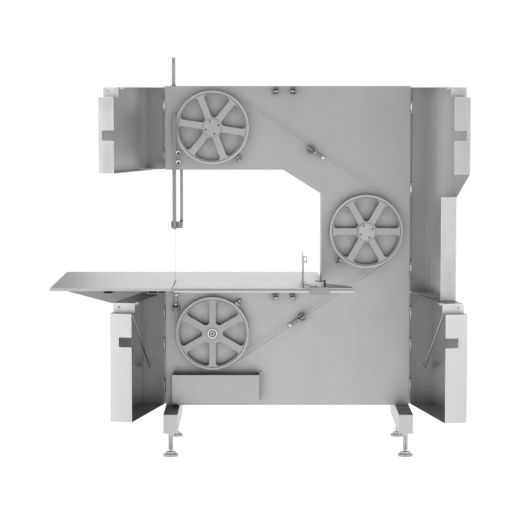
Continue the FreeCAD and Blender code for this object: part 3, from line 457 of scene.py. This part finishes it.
# painted light and shade per door: lighter or darker turned-in edges, and skins shaded from the hinge out
doors = {
    "upper_left_door": {"side": -1, "hinge": -675, "open": -110.4, "top": 1970, "seam": -20,
                        "flangeLightShade": 0.52, "hingeLightShade": 1.16, "edgeSideLightShade": 0.98},
    "upper_right_door": {"side": 1, "hinge": 675, "open": 104.4, "top": 1970, "seam": -17,
                         "flangeLightShade": 0.62, "hingeLightShade": 1.2, "edgeSideLightShade": 0.78},
    "lower_left_door": {"side": -1, "hinge": -675, "open": -102.3, "top": 850, "seam": -20,
                        "flangeLightShade": 2.0, "hingeLightShade": 0.48, "edgeSideLightShade": 0.43},
    "lower_right_door": {"side": 1, "hinge": 675, "open": 101, "top": 850, "seam": -17,
                         "flangeLightShade": 1.44, "hingeLightShade": 0.6, "edgeSideLightShade": 0.6},
}
for name, door in doors.items():
    finishes["steel_" + name] = doorSteel("steel_" + name, doorLook, door)


def middleOf(node):
    low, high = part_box(node)
    return [(a + b) / 2 for a, b in zip(low, high)]


# wheels: painted shade along their edges, a painted highlight on the lip, painted shade in the groove
wheelLook = {"roughness": 0.4, "lip": 0.187, "grooveShade": 0.5, "edgeLightShade": -0.45}
# painted light and shade: one casting, lightest on the upper wheel and darker on the wheels lower down
wheelShadedColours = {"upper_wheel": (0.57, 0.575, 0.58), "middle_wheel": (0.52, 0.525, 0.53),
                "drive_wheel": (0.47, 0.475, 0.48)}
for wheelName, colour in wheelShadedColours.items():
    look = dict(wheelLook, colour=colour)
    finishes["cast_" + wheelName] = castMetal("cast_" + wheelName, look, middleOf(wheelName))
for wheelName in ("upper_hub_cap", "middle_hub_cap", "drive_shaft"):
    finishes["turned_" + wheelName] = turnedSteel("turned_" + wheelName, {"colour": (0.57, 0.575, 0.58),
                                                  "roughness": 0.36}, middleOf(wheelName))
# feet: strong painted shade along their edges and in their crevices
finishes["footSteel"] = castMetal("footSteel", {"colour": (0.76, 0.765, 0.77), "roughness": 0.38,
                                              "edgeLightShade": -0.85, "creviceShade": 0.25})
finishes["blackPlastic"] = mouldedPlastic("blackPlastic", {"colour": (0.018, 0.018, 0.02), "roughness": 0.45})
finishes["whitePlastic"] = mouldedPlastic("whitePlastic", {"colour": (0.80, 0.80, 0.77), "roughness": 0.5,
                                          "edgeLightShade": -0.1})
finishes["greenPlastic"] = mouldedPlastic("greenPlastic", {"colour": (0.02, 0.26, 0.06), "roughness": 0.3})
finishes["yellowPlastic"] = mouldedPlastic("yellowPlastic", {"colour": (0.72, 0.5, 0.02), "roughness": 0.4})
finishes["redPlastic"] = mouldedPlastic("redPlastic", {"colour": (0.52, 0.012, 0.01), "roughness": 0.3})
finishes["motorPaint"] = mouldedPlastic("motorPaint", {"colour": (0.12, 0.14, 0.17), "roughness": 0.4,
                                        "pebble": 300.0})
print("finishes made", len(finishes))

nodeFinish = {
    "plateSteel": ["back_plate"],
    "casingSteel": ["rear_casing", "rear_covers", "tray_rails", "control_box"],
    "bracketSteel": ["table_supports"],
    "tableSteel": ["work_table", "table_insert"],
    "beamSteel": ["base_beams"],
    "traySteel": ["scrap_tray"],
    "guideSteel": ["tension_frame", "tension_carriage", "post_clamp", "lower_guide", "bolt_keepers",
                   "wheel_scrapers", "blade_scrapers",
                   "hinge_posts", "gauge_carriage", "gauge_plate", "guide_block", "blade_guard"],
    "railChrome": ["gauge_rail", "left_door_brace", "right_door_brace"],
    "rodChrome": ["guide_rods", "tension_spindle", "spring_washers"],
    "bladeSteel": ["saw_blade"],
    "boltSteel": ["cover_screws", "upper_left_bolt", "upper_right_bolt", "lower_left_bolt",
                  "lower_right_bolt"],
    "hardMetal": ["guide_jaws"],
    "cast_upper_wheel": ["upper_wheel"],
    "cast_middle_wheel": ["middle_wheel"],
    "cast_drive_wheel": ["drive_wheel"],
    "turned_upper_hub_cap": ["upper_hub_cap", "upper_bearings", "upper_axle"],
    "turned_middle_hub_cap": ["middle_hub_cap", "middle_bearings", "middle_axle"],
    "turned_drive_shaft": ["drive_shaft", "shaft_lock_ring"],
    "footSteel": ["foot_pads", "foot_stems"],
    "blackPlastic": ["tension_handwheel", "gauge_lock", "guide_knob", "cable_gland", "stop_button"],
    "greenPlastic": ["start_button"],
    "redPlastic": ["emergency_stop"],
    "motorPaint": ["drive_motor"],
}
nodeFinish.update({"steel_" + name: [name] for name in doors})
for finish, names in nodeFinish.items():
    for name in names:
        for place in nodes[name].material_slots:
            place.link = "OBJECT"
            place.material = finishes[finish]
print("frame painted", sum(len(names) for names in nodeFinish.values()))

# pieces
axisFrames = {"x": ((0, 1, 0), (0, 0, 1), (1, 0, 0)), "y": ((1, 0, 0), (0, 0, 1), (0, 1, 0)),
              "z": ((1, 0, 0), (0, 1, 0), (0, 0, 1))}


def skinned(loops, closeStart=True, closeEnd=True):
    # faces between loops that have the same number of points
    count = len(loops[0])
    points = [point for loop in loops for point in loop]
    faces = []
    for row in range(len(loops) - 1):
        low = row * count
        for k in range(count):
            after = (k + 1) % count
            faces.append((low + k, low + after, low + count + after, low + count + k))
    if closeStart:
        faces.append(tuple(reversed(range(count))))
    if closeEnd:
        faces.append(tuple(range(len(points) - count, len(points))))
    return points, faces


def merged(shapes):
    points = []
    faces = []
    for morePoints, moreFaces in shapes:
        start = len(points)
        points += morePoints
        faces += [tuple(start + k for k in face) for face in moreFaces]
    return points, faces


def ringLoop(centre, axis, along, radiusAt, sides=24):
    across, up, forward = (Vector(part) for part in axisFrames[axis])
    loop = []
    for k in range(sides):
        angle = math.tau * k / sides
        radius = radiusAt(angle)
        out = across * math.cos(angle) + up * math.sin(angle)
        loop.append(Vector(centre) + forward * along + out * radius)
    return loop


def roundAt(radius):
    return lambda angle: radius


def hexAt(apothem):
    # a hexagon by its half width across the flats
    return lambda angle: apothem / math.cos((angle + math.pi / 6) % (math.pi / 3) - math.pi / 6)


def knurledAt(radius, depth, teeth):
    return lambda angle: radius - depth * (0.5 + 0.5 * math.cos(angle * teeth))


def turnedShape(centre, axis, profile, sides=24, closed=True):
    # profile: how far along the axis, and the outline there
    loops = [ringLoop(centre, axis, along, outline, sides) for along, outline in profile]
    if closed:
        return skinned(loops)
    return skinned(loops + loops[:1], False, False)


def threadShape(x, y, low, high, look, sides=24):
    # a screw thread as a stack of loops whose radius follows the helix
    steps = look["stepsPerTurn"]
    count = int((high - low) / look["pitch"] * steps)
    loops = []
    for row in range(count + 1):
        z = low + (high - low) * row / count
        fade = min(1.0, row / steps, (count - row) / steps)

        def radiusAt(angle, z=z, fade=fade):
            phase = (z / look["pitch"] - angle / math.tau) % 1.0
            return look["radius"] - look["depth"] * fade * abs(2 * phase - 1)

        loops.append(ringLoop((x, y, z), "z", 0, radiusAt, sides))
    return loops


def addPiece(name, shape, finish, body, replaced=(), sharp=32, bevel=None):
    points, faces = shape
    mesh = bpy.data.meshes.new(name)
    mesh.from_pydata([placed(*point) for point in points], [], faces)
    work = bmesh.new()
    work.from_mesh(mesh)
    bmesh.ops.remove_doubles(work, verts=work.verts, dist=1e-6)
    bmesh.ops.recalc_face_normals(work, faces=work.faces)
    for face in work.faces:
        face.smooth = True
    for edge in work.edges:
        edge.smooth = len(edge.link_faces) == 2 and edge.calc_face_angle(0) < math.radians(sharp)
    work.to_mesh(mesh)
    work.free()
    mesh.materials.append(finishes[finish])
    piece = bpy.data.objects.new(name, mesh)
    scene.collection.objects.link(piece)
    if bevel:
        soften = piece.modifiers.new("softEdges", "BEVEL")
        soften.width = bevel * mm
        soften.segments = 2
    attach(piece, body)
    if replaced:
        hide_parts(*replaced)
    return piece


def boxShape(x0, x1, y0, y1, z0, z1):
    low = [(x0, y0, z0), (x1, y0, z0), (x1, y1, z0), (x0, y1, z0)]
    return skinned([[Vector(point) for point in low], [Vector((x, y, z1)) for x, y, z in low]])


def socketHead(x, y, z, look, axis="y", facing=1):
    # a low button head with a hexagon socket, standing on the face at y and looking along facing
    tall = look["height"]
    half = look["radius"]
    rows = [(0, roundAt(half)), (tall * 0.55, roundAt(half)), (tall * 0.85, roundAt(half * 0.9)),
            (tall, roundAt(half * 0.72)), (tall, roundAt(look["socket"] * 1.25)),
            (tall * 0.95, hexAt(look["socket"])), (tall * 0.25, hexAt(look["socket"] * 0.98))]
    return turnedShape((x, y, z), axis, [(along * facing, outline) for along, outline in rows])


# saw blade
sawBlade = {"toothPitch": 8.0, "toothDepth": 3.2, "thick": 0.6, "front": -66.0, "back": -44.0, "offset": 0.3}
wheels = {"lower": (-410.0, 630.0), "middle": (428.0, 1188.0), "upper": (-410.0, 1753.0)}
wheelRadius = 200.0


def loopOfWheels(radius, step):
    # points and outward directions round the three wheels, a step apart
    hubs = [Vector((x, 0, z)) for x, z in wheels.values()]
    line = []
    for k, hub in enumerate(hubs):
        ahead = (hubs[(k + 1) % 3] - hub).normalized()
        before = (hub - hubs[k - 1]).normalized()
        startOut = Vector((before.z, 0, -before.x))
        endOut = Vector((ahead.z, 0, -ahead.x))
        turn = startOut.angle(endOut)
        count = max(2, round(turn * radius / step))
        startAngle = math.atan2(startOut.z, startOut.x)
        for j in range(count):
            angle = startAngle + turn * j / count
            out = Vector((math.cos(angle), 0, math.sin(angle)))
            line.append((hub + out * radius, out))
        reach = (hubs[(k + 1) % 3] - hub).length
        count = max(2, round(reach / step))
        for j in range(count):
            line.append((hub + endOut * radius + ahead * reach * j / count, endOut))
    return line


def bladeShape(look):
    line = loopOfWheels(wheelRadius + look["offset"], look["toothPitch"] / 2)
    if len(line) % 2:
        line.pop()
    loops = []
    for k, (point, out) in enumerate(line):
        tip = look["front"] if k % 2 else look["front"] + look["toothDepth"]
        far = point + out * look["thick"]
        loops.append([Vector((point.x, look["back"], point.z)), Vector((point.x, tip, point.z)),
                      Vector((far.x, tip, far.z)), Vector((far.x, look["back"], far.z))])
    return skinned(loops + loops[:1], False, False)


addPiece("toothedBlade", bladeShape(sawBlade), "bladeSteel", "machine", ["saw_blade"])

# screws of the rear covers
coverScrew = {"radius": 6.0, "height": 3.8, "socket": 2.4, "inset": 22}
plateHalf, plateBottom, plateTop = 667, plateLow[2] / mm, plateHigh[2] / mm
armLow, baseTop, columnLeft, armBack, rearBack = 1522, 896, 185, 162, 302


def coverSpots(inset):
    spots = []
    for x in (-plateHalf + inset, -300, -60, columnLeft - inset - 1):
        spots += [(x, armBack, armLow + inset), (x, armBack, plateTop - inset)]
    for z in (baseTop + inset, 1240, 1600, plateTop - inset):
        spots += [(columnLeft + inset, rearBack, z), (plateHalf - inset, rearBack, z)]
    for x in (-plateHalf + inset, -220, 220, plateHalf - inset):
        spots += [(x, rearBack, plateBottom + inset), (x, rearBack, baseTop - inset)]
    return spots


coverHeads = [socketHead(*spot, coverScrew) for spot in coverSpots(coverScrew["inset"])]
addPiece("coverScrewHeads", merged(coverHeads), "boltSteel", "machine", ["cover_screws"])

# levelling feet
footThread = {"radius": 13.0, "depth": 1.3, "pitch": 4.0, "stepsPerTurn": 6, "start": 35}
footNeck = ((24.2, 9), (33, 9), (34, 11.5))  # height and radius
footNut = {"halfFlats": 17.2, "height": 12.0}
beamHeight = 101
beamLow = plateBottom - beamHeight
footSpots = [(side * 629, y) for side in (-1, 1) for y in (-305, 345)]


def footShape(x, y):
    low = beamLow - footNut["height"]
    half = footNut["halfFlats"]
    neck = [ringLoop((x, y, z), "z", 0, roundAt(radius)) for z, radius in footNeck]
    stem = skinned(neck + threadShape(x, y, footThread["start"], low, footThread))
    nut = turnedShape((x, y, 0), "z", [(low, roundAt(half * 0.94)), (low + 1.4, hexAt(half)),
                                       (beamLow - 0.2, hexAt(half))])
    return merged([stem, nut])


addPiece("threadedFeet", merged([footShape(*spot) for spot in footSpots]), "boltSteel", "machine",
         ["foot_stems"])

# tension screw
tensionThread = {"radius": 10.0, "depth": 1.1, "pitch": 4.0, "stepsPerTurn": 6, "low": 1611, "high": 1711}
spindleX, spindleY = -410, 226
# height and radius of the plain shank and its collar
spindleSteps = ((1530, 8.5), (1531.5, 10), (1598, 10), (1598, 17), (1599, 18), (1609, 18), (1610, 17),
                (1610, 10))
spindleLoops = [ringLoop((spindleX, spindleY, z), "z", 0, roundAt(radius)) for z, radius in spindleSteps]
spindleLoops += threadShape(spindleX, spindleY, tensionThread["low"], tensionThread["high"], tensionThread)
addPiece("threadedSpindle", skinned(spindleLoops), "boltSteel", "tension_screw",
         ["tension_spindle"])

# screws of the guide clamp
clampScrew = {"x": -595, "heights": (1612, 1560), "front": -12.05, "pinFoot": -4.0, "radius": 15.6,
              "hole": 7.2, "proud": 0.9, "pinRadius": 6.6, "pinHead": 5.6, "socket": 4.6}


def clampScrewShape(z, look):
    x, proud, head = look["x"], look["proud"], look["pinHead"]
    ringRows = [(0, roundAt(look["radius"])), (-proud, roundAt(look["radius"] - 1)),
                (-proud, roundAt(look["hole"] + 1.5)), (0, roundAt(look["hole"]))]
    pinRows = [(0, roundAt(look["pinRadius"])), (-head + 0.6, roundAt(look["pinRadius"])),
               (-head, roundAt(look["pinRadius"] - 0.6)), (-head, roundAt(look["socket"] * 1.2)),
               (-head + 0.2, hexAt(look["socket"])), (-1, hexAt(look["socket"]))]
    ring = turnedShape((x, look["front"], z), "y", ringRows, 32, False)
    return ring, turnedShape((x, look["pinFoot"], z), "y", pinRows)


clampParts = [clampScrewShape(z, clampScrew) for z in clampScrew["heights"]]
addPiece("clampWashers", merged([ring for ring, pin in clampParts]), "brightSteel", "machine")
addPiece("clampPins", merged([pin for ring, pin in clampParts]), "hardMetal", "machine")

# sliding bolts of the doors
slideBolt = {"shankRadius": 4.0, "shankFrom": -79.6, "shankTo": -50, "chamfer": 0.8, "knobX": -61,
             "knobRadius": 4.5, "knurl": 0.35, "teeth": 12}
boltSpots = {"upper_left_bolt": (-1, -62, 1949), "upper_right_bolt": (1, -62, 1949),
             "lower_left_bolt": (-1, -86, 829), "lower_right_bolt": (1, -86, 829)}
seamX = -18.5


def mirroredX(x, side):
    return x if side < 0 else 2 * seamX - x


def slideBoltShape(side, y, z, look):
    radius, cut, start, stop = look["shankRadius"], look["chamfer"], look["shankFrom"], look["shankTo"]
    ends = ((start, radius - cut), (start + cut, radius), (stop - cut, radius), (stop, radius - cut))
    shank = skinned([ringLoop((mirroredX(x, side), y, z), "x", 0, roundAt(width)) for x, width in ends])
    grip = knurledAt(look["knobRadius"], look["knurl"], look["teeth"])
    knobRows = [(-3, roundAt(3)), (-6, roundAt(3)), (-6, grip), (-15, grip), (-16, roundAt(3.4))]
    knob = turnedShape((mirroredX(look["knobX"], side), y, z), "y", knobRows, 48)
    return merged([shank, knob])


for name, (side, y, z) in boltSpots.items():
    addPiece("knurled_" + name, slideBoltShape(side, y, z, slideBolt), "brightSteel", name,
             [name])

# nylon pads at the tops of the doors
doorPad = {"start": 84.5, "length": 45, "front": -13.5, "back": -1.5, "tall": 11}


def openDoor(shape, door):
    # from the shut position to the door as it stands open
    points, faces = shape
    hinge = Vector((door["hinge"], 0, 0))
    swing = Matrix.Rotation(math.radians(door["open"]), 3, "Z")
    return [hinge + swing @ (point - hinge) for point in points], faces


for name, door in doors.items():
    near = door["seam"] + door["side"] * doorPad["start"]
    far = near + door["side"] * doorPad["length"]
    pad = boxShape(min(near, far), max(near, far), doorPad["front"], doorPad["back"],
                   door["top"] - doorPad["tall"], door["top"] - 0.1)
    addPiece("pad_" + name, openDoor(pad, door), "whitePlastic", name, bevel=0.7)

# pressed louvres behind the motor
louvre = {"count": 9, "pitch": 26, "length": 170, "low": 420, "x": -410, "depth": 7, "height": 10}


def louvreShape(look, low):
    loops = []
    half = look["length"] / 2
    for along, share in ((-half, 0.0), (-half + 4, 0.6), (-half + 12, 1.0), (half - 12, 1.0), (half - 4, 0.6),
                         (half, 0.0)):
        reach = look["depth"] * share + 0.1
        section = [(0, 0), (reach * 0.9, 0), (reach, 1), (reach * 0.7, look["height"] * 0.6),
                   (0, look["height"])]
        loops.append([Vector((look["x"] + along, rearBack + out, low + up)) for out, up in section])
    return skinned(loops)


louvres = [louvreShape(louvre, louvre["low"] + louvre["pitch"] * k) for k in range(louvre["count"])]
addPiece("coverLouvres", merged(louvres), "casingSteel", "machine")

# cable gland
gland = {"y": 220, "z": 330, "bore": 6.0, "hexHalf": 13.8, "cap": 13.0, "ribs": 16}
glandRibs = knurledAt(gland["cap"], 0.8, gland["ribs"])
glandBore = roundAt(gland["bore"] + 0.1)
glandRows = [(0, roundAt(gland["hexHalf"])), (1, hexAt(gland["hexHalf"])), (8, hexAt(gland["hexHalf"])),
             (9, roundAt(gland["hexHalf"] * 0.97)), (11, roundAt(gland["cap"] - 1.5)), (12, glandRibs),
             (22, glandRibs), (26, roundAt(gland["cap"] - 3)), (28, roundAt(8)), (28, glandBore),
             (0, glandBore)]
glandShape = turnedShape((plateHalf, gland["y"], gland["z"]), "x", glandRows, 48, False)
addPiece("ribbedGland", glandShape, "blackPlastic", "machine", ["cable_gland"])

# screws of the scrapers
scraperScrew = {"radius": 5.6, "height": 2.4, "socket": 2.2, "out": 30, "front": -40.05}
wheelScrapers = (("upper", -50), ("middle", -130), ("lower", 50))  # wheel and angle round it


def scraperSpot(hub, angle, out, y):
    x, z = wheels[hub]
    return x + out * math.cos(math.radians(angle)), y, z + out * math.sin(math.radians(angle))


scraperSpots = [scraperSpot(hub, angle, wheelRadius + scraperScrew["out"], scraperScrew["front"])
                for hub, angle in wheelScrapers]
addPiece("scraperScrews", merged([socketHead(*spot, scraperScrew, "y", -1) for spot in scraperSpots]),
         "brightSteel", "machine")

# blade scrapers' arms
scraperArm = {"foot": -22, "plane": -12, "length": 74, "width": 15, "thick": 4, "boltRadius": 7.5,
              "springAt": -34, "coils": 6, "coilPitch": 2.6}
bladeRuns = (("middle", "upper", 0.5), ("lower", "middle", 0.46), ("upper", "lower", 0.89))  # from, to, share


def tiltedShape(shape, x, z, angle):
    points, faces = shape
    swing = Matrix.Rotation(-angle, 3, "Y")
    return [Vector((x, 0, z)) + swing @ point for point in points], faces


def runSpot(start, end, share):
    x0, z0 = wheels[start]
    x1, z1 = wheels[end]
    reach = math.hypot(x1 - x0, z1 - z0)
    out = wheelRadius + 0.6
    x = x0 + (x1 - x0) * share + (z1 - z0) / reach * out
    z = z0 + (z1 - z0) * share - (x1 - x0) / reach * out
    return x, z, math.atan2(z1 - z0, x1 - x0)


def scraperArmShape(look):
    # a bent arm from the foot of the scraper to a bolt on the plate, with a coil spring under its head
    half, foot, plane, head = look["width"] / 2, look["foot"], look["plane"], look["boltRadius"]
    arm = boxShape(foot - look["length"], foot - 0.2, plane, plane + look["thick"], -half, half)
    boltRows = [(11.9, roundAt(5)), (4.1, roundAt(5)), (4.1, roundAt(8)), (0, roundAt(8)),
                (-0.05, roundAt(head + 2)), (-1.6, roundAt(head + 2)), (-1.6, hexAt(head)),
                (-6.6, hexAt(head)), (-7.4, roundAt(head * 0.9))]
    bolt = turnedShape((foot - look["length"] + half + 2, plane, 0), "y", boltRows)
    coilRows = ((-0.1, 6.2), (-1.2, 7.2), (-2.3, 6.2))
    coils = [turnedShape((look["springAt"], plane, 0), "y",
                         [(along - look["coilPitch"] * k, roundAt(radius)) for along, radius in coilRows], 20)
             for k in range(look["coils"])]
    postRows = [(11.9, roundAt(3)), (-19, roundAt(3)), (-19, hexAt(5)), (-23, hexAt(5))]
    post = turnedShape((look["springAt"], plane, 0), "y", postRows)
    return arm, merged([bolt, post] + coils)


armParts = [(scraperArmShape(scraperArm), runSpot(*run)) for run in bladeRuns]
addPiece("scraperArms", merged([tiltedShape(arm, *spot) for (arm, bolt), spot in armParts]), "guideSteel",
         "machine", bevel=0.8)
addPiece("scraperSprings", merged([tiltedShape(bolt, *spot) for (arm, bolt), spot in armParts]),
         "brightSteel", "machine")

# hub details
capScrews = {"count": 4, "circle": 36, "radius": 4.4, "front": -64.2, "socket": 2.6, "upper": 20,
             "middle": 25}
shaftEnd = {"washerFront": -64.05, "tipFront": -66.02}


def capSocketShape(hub, look):
    x, z = wheels[hub]
    rows = [(0.6, roundAt(look["radius"])), (0, roundAt(look["radius"])), (0, hexAt(look["socket"])),
            (0.5, hexAt(look["socket"]))]
    shapes = []
    for k in range(look["count"]):
        angle = math.radians(look[hub] + 360 / look["count"] * k)
        spot = (x + look["circle"] * math.cos(angle), look["front"], z + look["circle"] * math.sin(angle))
        shapes.append(turnedShape(spot, "y", rows))
    return merged(shapes)


for hub in ("upper", "middle"):
    addPiece(hub + "CapSockets", capSocketShape(hub, capScrews), "darkSteel", hub + "_wheel_set")


def shaftShape(front, steps, sides=40, capped=False):
    x, z = wheels["lower"]
    rows = [(depth, roundAt(radius)) for depth, radius in steps]
    return turnedShape((x, front, z), "y", rows, sides, capped)


# depth and radius of each step
washerSteps = ((0, 26.4), (-1.5, 25.4), (-1.5, 20), (0, 19))
recessSteps = ((0, 18.8), (-0.6, 18.6), (-0.6, 14.3), (0, 14.2))
centreSteps = ((0, 5.4), (-0.5, 5.2), (-0.5, 1.6), (-0.3, 0.6))
addPiece("shaftWasher", shaftShape(shaftEnd["washerFront"], washerSteps), "brightSteel", "drive_wheel_set")
addPiece("shaftRecess", shaftShape(shaftEnd["washerFront"], recessSteps), "darkSteel", "drive_wheel_set")
addPiece("shaftCentre", shaftShape(shaftEnd["tipFront"], centreSteps, 24, True), "darkSteel",
         "drive_wheel_set")

# control box trim
boxTrim = {"x": -707, "front": 70, "buttons": (1872, 1826), "ring": (14.5, 13.7, 12.3), "stop": 1766,
           "collar": (25.5, 24.5, 21.2), "screwX": (-739, -675), "screwZ": (1738, 1892),
           "screw": {"radius": 3.4, "height": 1.8, "socket": 1.5}}


def collarShape(height, radii, depth):
    foot, rim, bore = radii
    rows = [(-0.05, roundAt(foot)), (-depth, roundAt(rim)), (-depth, roundAt(bore)), (-0.05, roundAt(bore))]
    return turnedShape((boxTrim["x"], boxTrim["front"], height), "y", rows, 36, False)


addPiece("buttonRings", merged([collarShape(z, boxTrim["ring"], 2.4) for z in boxTrim["buttons"]]),
         "brightSteel", "machine")
addPiece("stopCollar", collarShape(boxTrim["stop"], boxTrim["collar"], 2.2), "yellowPlastic", "machine")
boxHeads = [socketHead(x, boxTrim["front"] - 0.02, z, boxTrim["screw"], "y", -1)
            for x in boxTrim["screwX"] for z in boxTrim["screwZ"]]
addPiece("boxScrews", merged(boxHeads), "brightSteel", "machine")
print("pieces added")
